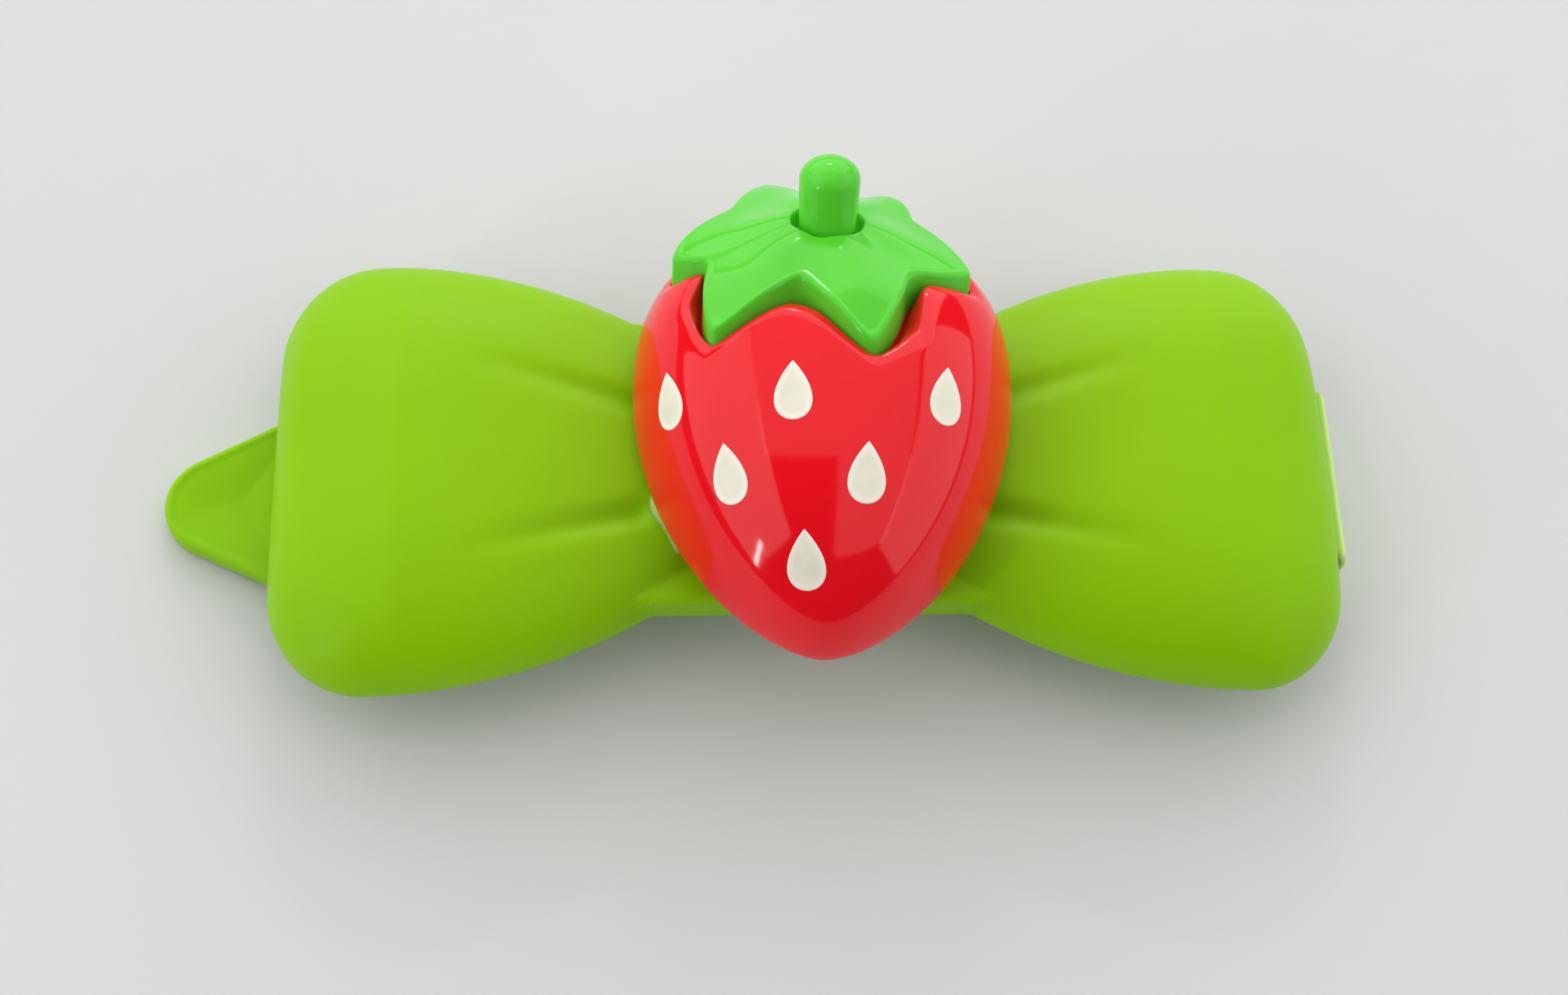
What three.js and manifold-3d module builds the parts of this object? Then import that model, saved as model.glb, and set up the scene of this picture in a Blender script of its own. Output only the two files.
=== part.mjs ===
// Bow-shaped hair clip with a moulded strawberry on its middle.
// Millimetres, +X along the clip from the thumb tab to the hinge, +Y towards the fruit's stem, +Z up.
// The origin lies on the flat middle facet of the clasp arm's underside, below the middle of the bow.
import * as THREE from 'three';
import { mergeVertices } from 'three/addons/utils/BufferGeometryUtils.js';
import Module from 'manifold-3d';

const wasm = await Module();
wasm.setup();

// Bow: two lobes of one arc, joined by a narrow waist bar, arched like the head it sits on.
const bowHalfLength = 25;
const bowHalfWidth = 11;
const lobeArcRadius = 25;
const lobePeakX = 20.5;
const bowCornerRadius = 4.6;
const waistHalfWidth = 4.6;
const rimHeightAtEnds = 2.3;
const rimArch = 0.75;
const bowWall = 1.15;
const bowSideHeight = 0.4;
const crownAtWaist = 3.4;
const crownAtLobe = 4.8;
const crownRiseStart = 6;
const crownRiseEnd = 19;
const endRoundingStart = 19;
const endFall = 0.3;
const endFallPower = 1.15;
const endRollPower = 6;
const sideRollPower = 2.75;
const barHalfLength = 9;
const barHalfWidth = 7.3;
const barHeight = 1.9;
const bowColumns = 44;
const bowRows = 16;
const barColumns = 8;

// Pleats pressed into the lobes beside the fruit, their pattern shifted a little towards the tip.
const pleatLength = 8.4;
const pleatHalfWidth = 0.6;
const pleatDepth = 0.5;
const pleatInnerX = 8;
const pleatInnerY = 2.8;
const pleatShiftY = 0.6;
const pleatSlope = 0.26;
const pleatLeadIn = 1.4;
const pleatFade = 1.2;

// Clasp arm: an arched strip with a thumb tab, gripping teeth and a window for the catch hook.
const armThickness = 1.2;
const armFacets = 14;
const armFacet = 5;
const cutterHeight = 8;
const armHalfWidth = 4.4;
const armHingeEnd = 24.2;
const tabTipX = -30.6;
const tabTipRadius = 2.5;
const tabRimWidth = 0.7;
const tabDishDepth = 0.35;
const tabSideAngle = THREE.MathUtils.degToRad(26.5);
const windowCentreX = -22;
const windowLength = 2.6;
const windowWidth = 5;
const toothPitch = 2.6;
const toothHeight = 0.6;
const toothWidth = 1;
const toothHalfFoot = 0.6;
const toothHalfCrest = 0.15;
const toothRoot = 0.1;
const toothRowY = 3.2;
const toothFirstX = -18.2;
const toothCount = 15;

// Catch hook behind the bow's free end.
const hookThickness = 1.2;
const hookWidth = 3.8;
const hookTipZ = -0.3;
const hookNose = 0.35;
const hookNoseHeight = 1.05;

// Living hinge: a thin web folded round the open side of the hinge.
const webThickness = 0.4;
const webHalfWidth = 4.4;
const webReach = 0.75;
const webTopOverRim = 1;
const webMiddleZ = 1.9;
const webBendInset = 0.2;
const webBendSegments = 8;
const pieceGap = 0.06;

// Strawberry body: flat back, widest a little above its middle, pointed front. Its group stands on
// the glue, turned a little out of square with the bow.
const fruitCentreX = 0.5;
const fruitTurn = THREE.MathUtils.degToRad(-1.8);
const fruitTipY = -11.2;
const fruitWideY = 2.1;
const fruitTopY = 10.4;
const fruitHalfWidth = 8.8;
const fruitHeight = 7.5;
const fruitSink = 0.15;
const tipWidthTaper = [1.9, 0.606];
const topWidthTaper = [2.6, 0.5];
const ridgeTaper = [2.1, 0.5];
const fruitSectionPower = 2.3;
const fruitSegments = 48;
const fruitRings = 30;
const nearPole = 0.9999;
const glueThickness = 0.3;
const glueHalfLength = 7;
const glueHalfWidth = 5;
const roundSegments = 24;

// Calyx: a drooping six-pointed leaf star with its stem, tilted towards the back. Its centre is
// measured from the middle of the fruit's back.
const calyxCentreX = -0.15;
const calyxCentreY = 7.65;
const calyxCentreZ = 6.15;
const calyxTilt = THREE.MathUtils.degToRad(57);
const calyxThickness = 2;
const frontDroop = 0.043;
const backDroop = 0.021;
const droopChangeStart = -0.1;
const droopChangeEnd = 0.7;
const calyxRidge = 0.3;
const leafSwell = 0.07;
const leafRings = [0, 0.3, 0.42, 0.55, 0.7, 0.85, 1];
const dishRadius = 1.9;
const dishFloorRadius = 1.5;
const dishDepth = 0.7;
const collarHeight = 0.35;
const collarReach = 4.6;
const stemRadius = 1.35;
const stemLength = 3.95;
const stemRoot = 0.4;
const stemFlare = 1.03;
const domeSegments = 6;
const pocketClearance = 0.3;
const pocketHeight = 6;
const stepsPerLobeSide = 4;

// Corners of the leaf star as [angle in degrees, radius]: lobe tips and the notches between them.
const starCorners = [
  [-134, 7.4], [-110, 3.75], [-74, 6.85], [-34, 4.45], [-8, 6.75], [30, 4.75],
  [55, 5.7], [82, 3], [113, 6.7], [144, 5.4], [177, 7], [190, 5.35],
];

// Seeds: drop-shaped fillings, point towards the stem. Offsets from the fruit's centre line, and Y.
const seedPlaces = [[-7.1, -0.6], [-1.75, -1.4], [5.05, -0.95], [-4.45, -4.65], [1.5, -4.9], [-1.05, -8.35]];
const seedHalfWidth = 0.85;
const seedHalfLength = 1.37;
const dropPower = 0.95;
const dropSteps = 28;
const seedDepth = 0.4;
const seedClearance = 0.05;
const seedCutterHeight = 2;
const slopeStep = 0.05;

const limeGreen = new THREE.MeshStandardMaterial({ color: 0x8fcf06, roughness: 0.38, metalness: 0 });
const glossRed = new THREE.MeshStandardMaterial({ color: 0xe01822, roughness: 0.12, metalness: 0 });
const leafGreen = new THREE.MeshStandardMaterial({ color: 0x4fcf3a, roughness: 0.25, metalness: 0 });
const seedWhite = new THREE.MeshStandardMaterial({ color: 0xebe5cf, roughness: 0.35, metalness: 0 });
const clearGlue = new THREE.MeshStandardMaterial({ color: 0xdfe6cf, roughness: 0.2, metalness: 0 });

const group = new THREE.Group();
const fruitGroup = new THREE.Group();

function addPiece(name, geometry, material, parent = group) {
  const mesh = new THREE.Mesh(geometry, material);
  mesh.name = name;
  parent.add(mesh);
}

// Merged, closed copy of a geometry as a solid for joining and cutting.
function toSolid(geometry) {
  const bare = geometry.clone();
  bare.deleteAttribute('normal');
  bare.deleteAttribute('uv');
  const merged = mergeVertices(bare, 1e-4);
  const corners = [];
  const index = merged.index.array;
  for (let i = 0; i < index.length; i += 3) {
    const [a, b, c] = [index[i], index[i + 1], index[i + 2]];
    if (a !== b && b !== c && c !== a) corners.push(a, b, c);
  }
  return new wasm.Manifold(new wasm.Mesh({
    numProp: 3,
    vertProperties: new Float32Array(merged.attributes.position.array),
    triVerts: new Uint32Array(corners),
  }));
}

function toGeometry(solid) {
  const mesh = solid.getMesh();
  const geometry = new THREE.BufferGeometry();
  geometry.setAttribute('position', new THREE.BufferAttribute(new Float32Array(mesh.vertProperties), 3));
  geometry.setIndex(new THREE.BufferAttribute(new Uint32Array(mesh.triVerts), 1));
  geometry.computeVertexNormals();
  return geometry;
}

// Moves every vertex of a geometry to the place that map(point) gives it.
function mapVertices(geometry, map) {
  const position = geometry.attributes.position;
  const point = new THREE.Vector3();
  for (let i = 0; i < position.count; i += 1) {
    point.fromBufferAttribute(position, i);
    map(point);
    position.setXYZ(i, point.x, point.y, point.z);
  }
  return geometry;
}

function box(lengthX, widthY, heightZ, x, y, z) {
  return new THREE.BoxGeometry(lengthX, widthY, heightZ).translate(x, y, z);
}

function extrudeUp(shape, height, z, curveSegments = 8) {
  const geometry = new THREE.ExtrudeGeometry(shape, { depth: height, bevelEnabled: false, curveSegments });
  return geometry.translate(0, 0, z);
}

function smooth(value) {
  const s = THREE.MathUtils.clamp(value, 0, 1);
  return s * s * (3 - 2 * s);
}

// Height of the bow's rim: lowest at the ends, arched in the middle.
function rimHeight(x) {
  return rimHeightAtEnds + rimArch * (1 - (x / bowHalfLength) ** 2);
}

// Half width of the lobes: one arc, less the rounded corner at the end, less the inset.
function lobeHalfWidth(x, inset) {
  const reach = Math.abs(x);
  const arc = bowHalfWidth - lobeArcRadius + Math.sqrt(lobeArcRadius ** 2 - (lobePeakX - reach) ** 2);
  const cornerStart = bowHalfLength - bowCornerRadius;
  const cornerRadius = bowCornerRadius - inset;
  const intoCorner = Math.min(Math.max(reach - cornerStart, 0), cornerRadius);
  const corner = cornerRadius - Math.sqrt(cornerRadius ** 2 - intoCorner ** 2);
  return Math.max(arc, waistHalfWidth) - corner - inset;
}

// Height of the crowned top above the rim at a place along the bow and across it (-1 to 1).
function crownHeight(x, across) {
  const reach = Math.abs(x);
  const rise = smooth((reach - crownRiseStart) / (crownRiseEnd - crownRiseStart));
  const crown = crownAtWaist + (crownAtLobe - crownAtWaist) * rise;
  const intoEnd = Math.max(reach - endRoundingStart, 0) / (bowHalfLength - endRoundingStart);
  const endRoll = Math.sqrt(Math.max(1 - intoEnd ** endRollPower, 0));
  const endRounding = (1 - endFall * intoEnd ** endFallPower) * endRoll;
  const sideRounding = Math.sqrt(Math.max(1 - Math.abs(across) ** sideRollPower, 0));
  return bowSideHeight + (crown - bowSideHeight) * endRounding * sideRounding;
}

// Depth of the four pleats at a point of the top: deepest beside the fruit, fading outwards.
function pleatDepthAt(x, y) {
  const outwards = Math.abs(x) - pleatInnerX;
  const across = (Math.abs(y + pleatShiftY) - pleatInnerY - outwards * pleatSlope) / pleatHalfWidth;
  const fade = THREE.MathUtils.clamp(1 - outwards / pleatLength, 0, 1) ** pleatFade;
  return pleatDepth * fade * smooth((outwards + pleatLeadIn) / pleatLeadIn) * Math.exp(-across * across);
}

// Crowned lobe body. An inset makes the smaller body that hollows the bow out from below.
function pillow(inset) {
  const halfLength = bowHalfLength - inset;
  const geometry = new THREE.BoxGeometry(2, 2, 2, bowColumns, bowRows, 1);
  return mapVertices(geometry, (point) => {
    const across = Math.sin(point.y * Math.PI / 2);
    const isTop = point.z > 0;
    const x = halfLength * Math.sin(point.x * Math.PI / 2);
    const y = across * lobeHalfWidth(x, inset);
    const outerX = x * bowHalfLength / halfLength;
    const pleat = inset > 0 ? 0 : pleatDepthAt(x, y);
    const top = rimHeight(x) + crownHeight(outerX, across) - inset - pleat;
    point.set(x, y, isTop ? top : rimHeight(x) - inset);
  });
}

function waistBar(inset) {
  const geometry = new THREE.BoxGeometry(2, 2, 2, barColumns, 1, 1);
  return mapVertices(geometry, (point) => {
    const x = point.x * (barHalfLength - inset);
    const z = point.z > 0 ? rimHeight(x) + barHeight - inset : rimHeight(x) - inset;
    point.set(x, point.y * (barHalfWidth - inset), z);
  });
}

// Hook that hangs from the hollow's roof and ends in a rounded nose below the arm's top.
function catchHook() {
  const roof = rimHeight(windowCentreX) + crownHeight(windowCentreX, 0) - bowWall / 2;
  const half = hookThickness / 2;
  const outline = new THREE.Shape();
  outline.moveTo(half, hookTipZ);
  outline.lineTo(half, roof);
  outline.lineTo(-half, roof);
  outline.lineTo(-half, hookTipZ + hookNoseHeight);
  outline.quadraticCurveTo(-half - hookNose, hookTipZ + hookNoseHeight / 2, -half, hookTipZ);
  return extrudeAcross(outline, hookWidth).translate(windowCentreX, 0, 0);
}

function makeBowShell() {
  const outside = toSolid(pillow(0)).add(toSolid(waistBar(0)));
  const inside = toSolid(pillow(bowWall)).add(toSolid(waistBar(bowWall)));
  addPiece('bow_shell', toGeometry(outside.subtract(inside).add(toSolid(catchHook()))), limeGreen);
}

// Plan outline of the arm: parallel sides, then the tapering tab with its rounded tip.
function armOutline(inset) {
  const radius = tabTipRadius - inset;
  const centreX = tabTipX + tabTipRadius;
  const touchX = centreX - radius * Math.sin(tabSideAngle);
  const touchY = radius * Math.cos(tabSideAngle);
  const shoulderX = touchX + (armHalfWidth - inset - touchY) / Math.tan(tabSideAngle);
  const start = Math.PI / 2 + tabSideAngle;
  const outline = new THREE.Shape();
  outline.moveTo(shoulderX, armHalfWidth - inset);
  outline.lineTo(touchX, touchY);
  outline.absarc(centreX, 0, radius, start, 2 * Math.PI - start, false);
  outline.lineTo(shoulderX, -(armHalfWidth - inset));
  return outline;
}

// Height of the arm's underside: flat over the middle facet, then falling like the bow's rim.
function armUnderside(x) {
  return rimArch * ((armFacet / 2) ** 2 - Math.max(Math.abs(x), armFacet / 2) ** 2) / bowHalfLength ** 2;
}

// Extrudes a side view, drawn in X and Z, to a width across the clip.
function extrudeAcross(shape, width, curveSegments = 6) {
  const geometry = new THREE.ExtrudeGeometry(shape, { depth: width, bevelEnabled: false, curveSegments });
  return geometry.translate(0, 0, -width / 2).rotateX(Math.PI / 2);
}

// Arched slab between two heights over the arm's underside, from end to end of the arm.
function archedSlab(low, high) {
  const stations = [];
  for (let i = 0; i < armFacets; i += 1) stations.push((i + 0.5 - armFacets / 2) * armFacet);
  const outline = new THREE.Shape();
  outline.moveTo(stations[0], armUnderside(stations[0]) + low);
  stations.slice(1).forEach((x) => outline.lineTo(x, armUnderside(x) + low));
  stations.reverse().forEach((x) => outline.lineTo(x, armUnderside(x) + high));
  return extrudeAcross(outline, 4 * armHalfWidth);
}

function gripTooth(x, y) {
  const outline = new THREE.Shape();
  outline.moveTo(-toothHalfFoot, -toothRoot);
  outline.lineTo(toothHalfFoot, -toothRoot);
  outline.lineTo(toothHalfCrest, toothHeight);
  outline.lineTo(-toothHalfCrest, toothHeight);
  return extrudeAcross(outline, toothWidth).translate(x, y, armUnderside(x) + armThickness);
}

function makeClaspArm() {
  const plan = armOutline(0);
  plan.lineTo(armHingeEnd, -armHalfWidth);
  plan.lineTo(armHingeEnd, armHalfWidth);
  const blank = toSolid(extrudeUp(plan, cutterHeight, -cutterHeight / 2));
  let arm = blank.intersect(toSolid(archedSlab(0, armThickness)));
  const dish = toSolid(extrudeUp(armOutline(tabRimWidth), cutterHeight, -cutterHeight / 2));
  arm = arm.subtract(dish.intersect(toSolid(archedSlab(armThickness - tabDishDepth, 2 * armThickness))));
  arm = arm.subtract(toSolid(box(windowLength, windowWidth, cutterHeight, windowCentreX, 0, 0)));
  for (let i = 0; i < toothCount; i += 1) {
    for (const side of [-1, 1]) {
      arm = arm.add(toSolid(gripTooth(toothFirstX + i * toothPitch, side * toothRowY)));
    }
  }
  addPiece('clasp_arm', toGeometry(arm), limeGreen);
}

// C-shaped web from the arm's end round to the foot of the bow's end wall.
function makeLivingHinge() {
  const low = armUnderside(armHingeEnd) + armThickness / 2;
  const high = rimHeight(bowHalfLength) + webTopOverRim;
  const outer = bowHalfLength + webReach;
  const bend = bowHalfLength - webBendInset;
  const outline = new THREE.Shape();
  outline.moveTo(armHingeEnd + pieceGap, low - webThickness / 2);
  outline.lineTo(bend, low - webThickness / 2);
  outline.quadraticCurveTo(outer, low - webThickness / 2, outer, webMiddleZ);
  outline.quadraticCurveTo(outer, high, bowHalfLength + pieceGap, high);
  outline.lineTo(bowHalfLength + pieceGap, high - webThickness);
  outline.quadraticCurveTo(outer - webThickness, high - webThickness, outer - webThickness, webMiddleZ);
  outline.quadraticCurveTo(outer - webThickness, low + webThickness / 2, bend, low + webThickness / 2);
  outline.lineTo(armHingeEnd + pieceGap, low + webThickness / 2);
  addPiece('living_hinge', extrudeAcross(outline, 2 * webHalfWidth, webBendSegments), limeGreen);
}

const fruitBackZ = rimHeight(0) + crownAtWaist + glueThickness + fruitSink;

function makeGluePad() {
  const outline = new THREE.Shape();
  outline.absellipse(fruitCentreX, 0, glueHalfLength, glueHalfWidth, 0, 2 * Math.PI, false);
  const base = rimHeight(0) + crownAtWaist + pieceGap;
  addPiece('glue_pad', extrudeUp(outline, fruitBackZ - pieceGap - base, base, roundSegments), clearGlue);
}

// Share of the fruit's full size at a place along it: 1 at its widest, 0 at either end.
function fruitTaper(y, [sharpness, roundness]) {
  const reach = y < fruitWideY ? fruitWideY - fruitTipY : fruitTopY - fruitWideY;
  const share = Math.min(Math.abs(y - fruitWideY) / reach, 1);
  return Math.max(1 - share ** sharpness, 0) ** roundness;
}

function fruitWidthAt(y) {
  return fruitHalfWidth * fruitTaper(y, y < fruitWideY ? tipWidthTaper : topWidthTaper);
}

function fruitRidgeAt(y) {
  return fruitHeight * fruitTaper(y, ridgeTaper);
}

// Height of the fruit's surface over its back, from the centre line outwards.
function fruitSurface(x, y) {
  const across = Math.min(Math.abs(x) / fruitWidthAt(y), 1);
  return fruitRidgeAt(y) * Math.sqrt(1 - across ** fruitSectionPower);
}

function fruitBlank() {
  const geometry = new THREE.SphereGeometry(1, fruitSegments, fruitRings);
  return mapVertices(geometry, (point) => {
    const share = Math.abs(point.y);
    const y = fruitWideY + point.y * (point.y < 0 ? fruitWideY - fruitTipY : fruitTopY - fruitWideY);
    const ring = Math.max(Math.hypot(point.x, point.z), 1e-9);
    const across = share > nearPole ? 0 : point.x / ring;
    const section = Math.sqrt(Math.max(1 - Math.abs(across) ** fruitSectionPower, 0));
    point.set(across * fruitWidthAt(y), y, point.z > 0 ? fruitRidgeAt(y) * section : 0);
  });
}

// Calyx frame: local +Z is the star's axis, local +X the clip's +X.
function placeOnCalyx(geometry) {
  geometry.rotateX(calyxTilt - Math.PI / 2);
  return geometry.translate(calyxCentreX, calyxCentreY, calyxCentreZ);
}

// Point of the star's outline: slightly swollen sides between each lobe tip and the next notch.
function starPoint(step) {
  const side = Math.floor(step / stepsPerLobeSide) % starCorners.length;
  const share = (step % stepsPerLobeSide) / stepsPerLobeSide;
  const ends = [starCorners[side], starCorners[(side + 1) % starCorners.length]].map(([degrees, radius]) => {
    const angle = THREE.MathUtils.degToRad(degrees);
    return new THREE.Vector2(Math.cos(angle), Math.sin(angle)).multiplyScalar(radius);
  });
  return ends[0].lerp(ends[1], share).multiplyScalar(1 + leafSwell * Math.sin(Math.PI * share));
}

// 1 on the middle line of a lobe, 0 on the valley between two lobes.
function lobeShare(step) {
  const within = step % (2 * stepsPerLobeSide);
  return Math.abs(1 - within / stepsPerLobeSide);
}

// How far the leaves hang below the star's plane, less at the back than at the front.
function leafDroop(x, y) {
  const radius = Math.hypot(x, y);
  const sine = y / Math.max(radius, pieceGap);
  const towardsBack = smooth((sine - droopChangeStart) / (droopChangeEnd - droopChangeStart));
  return (frontDroop + (backDroop - frontDroop) * towardsBack) * radius * radius;
}

// Star-shaped disc: a turned disc whose rings are stretched to the star's outline, then drooped.
function leafStar(clearance, bottom, top, ridge, collar) {
  const steps = stepsPerLobeSide * starCorners.length;
  const profile = leafRings.map((r) => new THREE.Vector2(r, 0));
  profile.push(...leafRings.slice().reverse().map((r) => new THREE.Vector2(r, 1)));
  const geometry = new THREE.LatheGeometry(profile, steps);
  return mapVertices(geometry, (point) => {
    const share = Math.hypot(point.x, point.z);
    const turn = Math.atan2(point.x, point.z);
    const step = Math.round(((turn / (2 * Math.PI)) * steps + steps)) % steps;
    const corner = starPoint(step);
    const isTop = point.y > 0.5;
    const stretch = 1 + clearance / corner.length();
    const x = corner.x * share * stretch;
    const y = corner.y * share * stretch;
    const fromCollar = (collarReach - Math.hypot(x, y)) / (collarReach - dishRadius);
    const raised = isTop ? ridge * (lobeShare(step) - 0.5) * share + collar * smooth(fromCollar) : 0;
    point.set(x, y, (isTop ? top : bottom) + raised - leafDroop(x, y));
  });
}

function makeCalyx() {
  let calyx = toSolid(leafStar(0, -calyxThickness, 0, calyxRidge, collarHeight));
  const dishProfile = [new THREE.Vector2(0, -dishDepth), new THREE.Vector2(dishFloorRadius, -dishDepth)];
  dishProfile.push(new THREE.Vector2(dishRadius, collarHeight), new THREE.Vector2(0, collarHeight));
  const dish = new THREE.LatheGeometry(dishProfile, roundSegments).rotateX(Math.PI / 2);
  const cap = new THREE.Path();
  cap.moveTo(0, -dishDepth - stemRoot);
  cap.lineTo(stemRadius, -dishDepth - stemRoot);
  cap.lineTo(stemRadius * stemFlare, stemLength - dishDepth - stemRadius);
  cap.absarc(0, stemLength - dishDepth - stemRadius, stemRadius, 0, Math.PI / 2, false);
  const stem = new THREE.LatheGeometry(cap.getPoints(domeSegments), roundSegments).rotateX(Math.PI / 2);
  calyx = calyx.subtract(toSolid(dish)).add(toSolid(stem));
  addPiece('calyx', placeOnCalyx(toGeometry(calyx)), leafGreen, fruitGroup);
}

// Drop outline: an ellipse pinched towards its point, half width times sin(t) sin(t/2)^power.
function dropOutline(offset) {
  const widest = 2 * Math.acos(1 / Math.sqrt(2 + dropPower));
  const pinch = (t) => Math.sin(t) * Math.sin(t / 2) ** dropPower;
  const outline = new THREE.Shape();
  for (let i = 0; i < dropSteps; i += 1) {
    const t = 2 * Math.PI * (i / dropSteps);
    const x = -((seedHalfWidth + offset) / pinch(widest)) * pinch(t);
    const y = (seedHalfLength + offset) * Math.cos(t);
    if (i === 0) outline.moveTo(x, y);
    else outline.lineTo(x, y);
  }
  return outline;
}

function placeOnFruit(geometry, place) {
  const [x, y] = place;
  const slopeX = (fruitSurface(x + slopeStep, y) - fruitSurface(x - slopeStep, y)) / (2 * slopeStep);
  const slopeY = (fruitSurface(x, y + slopeStep) - fruitSurface(x, y - slopeStep)) / (2 * slopeStep);
  const normal = new THREE.Vector3(-slopeX, -slopeY, 1).normalize();
  const side = new THREE.Vector3(1, 0, slopeX).normalize();
  const up = new THREE.Vector3().crossVectors(normal, side);
  const matrix = new THREE.Matrix4().makeBasis(side, up, normal);
  matrix.setPosition(x, y, fruitSurface(x, y));
  return geometry.applyMatrix4(matrix);
}

function makeFruit() {
  let body = toSolid(fruitBlank());
  const pocket = leafStar(pocketClearance, -calyxThickness - pieceGap, pocketHeight, 0, 0);
  body = body.subtract(toSolid(placeOnCalyx(pocket)));
  for (const place of seedPlaces) {
    const recess = extrudeUp(dropOutline(seedClearance), seedCutterHeight, -seedDepth);
    body = body.subtract(toSolid(placeOnFruit(recess, place)));
  }
  addPiece('strawberry_body', toGeometry(body), glossRed, fruitGroup);
}

function makeSeeds() {
  seedPlaces.forEach((place, i) => {
    const seed = extrudeUp(dropOutline(0), seedDepth - seedClearance, seedClearance - seedDepth);
    addPiece(`seed_${i + 1}`, placeOnFruit(seed, place), seedWhite, fruitGroup);
  });
}

makeClaspArm();
makeLivingHinge();
makeBowShell();
makeGluePad();
makeFruit();
makeCalyx();
makeSeeds();
fruitGroup.position.set(fruitCentreX, 0, fruitBackZ);
fruitGroup.rotation.z = fruitTurn;
group.add(fruitGroup);

export default group;
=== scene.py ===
import math

import bpy
import numpy as np
from mathutils import Matrix, Vector


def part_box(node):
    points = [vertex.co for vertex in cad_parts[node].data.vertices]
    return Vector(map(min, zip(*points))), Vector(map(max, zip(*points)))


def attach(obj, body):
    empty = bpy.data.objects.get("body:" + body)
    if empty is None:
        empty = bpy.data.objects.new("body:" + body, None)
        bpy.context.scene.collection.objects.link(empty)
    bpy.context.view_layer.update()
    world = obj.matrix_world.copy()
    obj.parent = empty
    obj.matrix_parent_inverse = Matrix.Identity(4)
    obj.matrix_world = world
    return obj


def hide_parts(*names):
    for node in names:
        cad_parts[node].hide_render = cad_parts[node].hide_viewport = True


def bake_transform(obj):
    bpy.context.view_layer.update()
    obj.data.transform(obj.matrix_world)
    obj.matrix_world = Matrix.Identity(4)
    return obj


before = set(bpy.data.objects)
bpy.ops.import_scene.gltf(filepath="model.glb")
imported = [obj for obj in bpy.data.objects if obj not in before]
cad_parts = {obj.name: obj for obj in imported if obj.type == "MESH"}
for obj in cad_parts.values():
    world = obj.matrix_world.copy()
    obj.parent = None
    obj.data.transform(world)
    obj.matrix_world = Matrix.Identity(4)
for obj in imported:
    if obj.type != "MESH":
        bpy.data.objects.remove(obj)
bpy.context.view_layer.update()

# ---------------------------------------------------------------------------------------------
# Table top, soft lights and camera.
# The clip lies on a pale, faintly mottled table top. Soft panels stand above it, at its far side
# and at both its ends, and two small lamps make the sharp highlights on the glossy fruit.
# ---------------------------------------------------------------------------------------------
MM = 0.001
table_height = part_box("clasp_arm")[0].z
table_radii = np.array([0.02, 0.1, 0.3, 1, 4])
table_steps = 96


def add_mesh(name, points, face_sets, material):
    """Smooth-shaded object from points in millimetres, (n, 3), and arrays of faces of one length each."""
    counts = np.concatenate([np.full(len(faces), faces.shape[1]) for faces in face_sets])
    corners = np.concatenate([faces.ravel() for faces in face_sets]).astype(np.int32)
    mesh = bpy.data.meshes.new(name)
    mesh.vertices.add(len(points))
    mesh.vertices.foreach_set("co", (points * MM).astype(np.float32).ravel())
    mesh.loops.add(len(corners))
    mesh.loops.foreach_set("vertex_index", corners)
    mesh.polygons.add(len(counts))
    mesh.polygons.foreach_set("loop_start", (np.cumsum(counts) - counts).astype(np.int32))
    mesh.update(calc_edges=True)
    mesh.shade_smooth()
    mesh.materials.append(material)
    piece = bpy.data.objects.new(name, mesh)
    bpy.context.scene.collection.objects.link(piece)
    return piece


def link_noise(tree, size, detail):
    """Noise over the piece's own coordinates whose blotches are about size metres across."""
    coordinates = tree.nodes.new("ShaderNodeTexCoord")
    noise = tree.nodes.new("ShaderNodeTexNoise")
    noise.inputs["Scale"].default_value = 1 / size
    noise.inputs["Detail"].default_value = detail
    tree.links.new(coordinates.outputs["Object"], noise.inputs["Vector"])
    return noise.outputs["Fac"]


def link_range(tree, value, low, high):
    """A noise's value, from 0.3 to 0.7, carried over to the range from low to high."""
    spread = tree.nodes.new("ShaderNodeMapRange")
    spread.inputs["From Min"].default_value = 0.3
    spread.inputs["From Max"].default_value = 0.7
    spread.inputs["To Min"].default_value = low
    spread.inputs["To Max"].default_value = high
    tree.links.new(value, spread.inputs["Value"])
    return spread.outputs["Result"]


def link_mix(tree, share, first, second):
    """Colour between first and second by share. Each is a plain colour or a colour socket."""
    mix = tree.nodes.new("ShaderNodeMix")
    mix.data_type = "RGBA"
    tree.links.new(share, mix.inputs["Factor"])
    for socket, colour in ((mix.inputs[6], first), (mix.inputs[7], second)):
        if isinstance(colour, bpy.types.NodeSocket):
            tree.links.new(colour, socket)
        else:
            socket.default_value = (*colour, 1)
    return mix.outputs[2]


def moulded_finish(name, light, dark, blotch, shine, grain, grain_height):
    """Moulded surface: blotches of two near tones, and a fine grain in its gloss and its height.
    shine is the lowest and highest roughness, blotch and grain are sizes in metres."""
    material = bpy.data.materials.new(name)
    material.use_nodes = True
    tree = material.node_tree
    shader = tree.nodes["Principled BSDF"]
    tone = link_range(tree, link_noise(tree, blotch, detail=3), 0, 1)
    tree.links.new(link_mix(tree, tone, light, dark), shader.inputs["Base Color"])
    grain_value = link_noise(tree, grain, detail=2)
    tree.links.new(link_range(tree, grain_value, *shine), shader.inputs["Roughness"])
    bump = tree.nodes.new("ShaderNodeBump")
    bump.inputs["Distance"].default_value = grain_height
    tree.links.new(grain_value, bump.inputs["Height"])
    tree.links.new(bump.outputs["Normal"], shader.inputs["Normal"])
    return material, shader


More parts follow.
